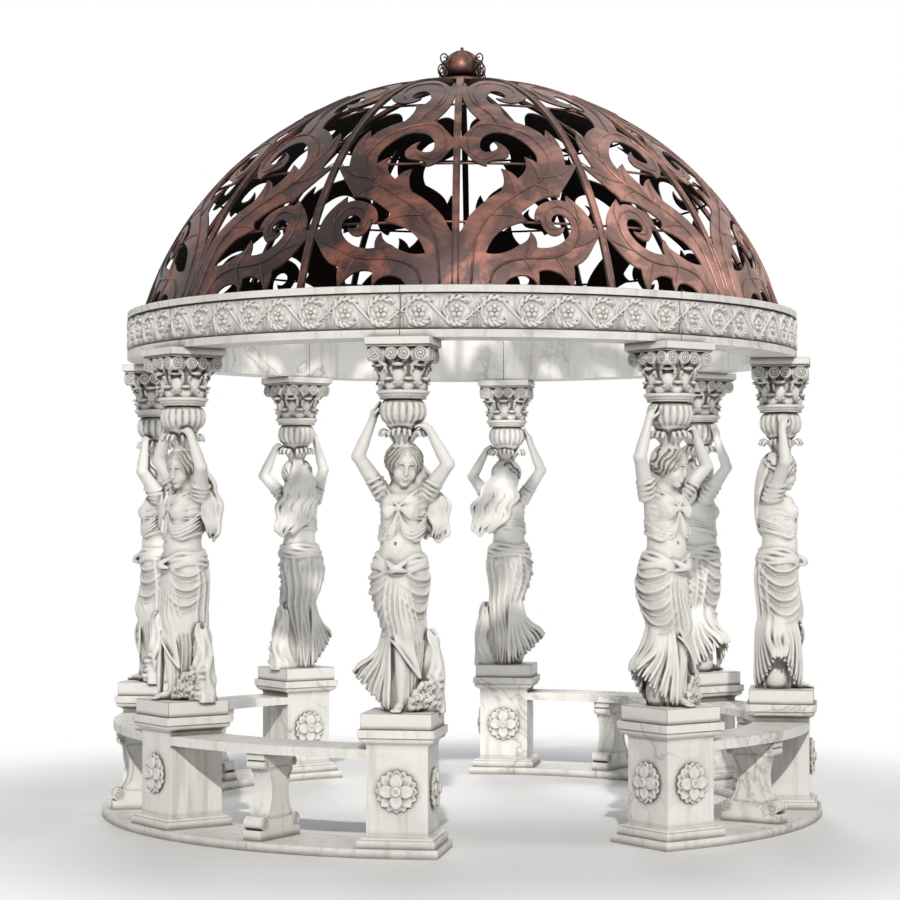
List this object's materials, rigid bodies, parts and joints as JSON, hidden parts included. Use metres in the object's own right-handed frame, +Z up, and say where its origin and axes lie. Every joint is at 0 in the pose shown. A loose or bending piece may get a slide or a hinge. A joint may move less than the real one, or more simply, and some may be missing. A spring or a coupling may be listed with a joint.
{
  "type": "marble gazebo",
  "caption": "Round garden gazebo with draped caryatid columns on pedestals, curved benches, a carved marble ring beam and an openwork metal scroll dome.",
  "frame": {"origin": "on the ground at the centre of the plan", "axes": "+Z up, the two entrances along -Y (front) and +Y (back), +X to the right seen from the front"},
  "size_m": [3.749, 3.5936, 4.0203],
  "materials": {
    "marble": "satin",
    "dome_metal": "satin"
  },
  "bodies": {
    "root": {"kerb_right": "marble", "bench_seats_right": "marble", "bench_brackets_right": "marble", "kerb_left": "marble", "bench_seats_left": "marble", "bench_brackets_left": "marble", "pedestal_1": "marble", "caryatid_1": "marble", "capital_1": "marble", "pedestal_2": "marble", "caryatid_2": "marble", "capital_2": "marble", "pedestal_3": "marble", "caryatid_3": "marble", "capital_3": "marble", "pedestal_4": "marble", "caryatid_4": "marble", "capital_4": "marble", "pedestal_5": "marble", "caryatid_5": "marble", "capital_5": "marble", "pedestal_6": "marble", "caryatid_6": "marble", "capital_6": "marble", "pedestal_7": "marble", "caryatid_7": "marble", "capital_7": "marble", "pedestal_8": "marble", "caryatid_8": "marble", "capital_8": "marble", "ring_beam": "marble", "dome_foot_ring": "dome_metal", "dome_ribs": "dome_metal", "dome_hoops": "dome_metal", "dome_crown": "dome_metal", "finial_ball": "dome_metal", "finial_wires": "dome_metal", "dome_scrolls_1": "dome_metal", "dome_scrolls_2": "dome_metal", "dome_scrolls_3": "dome_metal", "dome_scrolls_4": "dome_metal", "dome_scrolls_5": "dome_metal", "dome_scrolls_6": "dome_metal", "dome_scrolls_7": "dome_metal"}
  },
  "joints": []
}
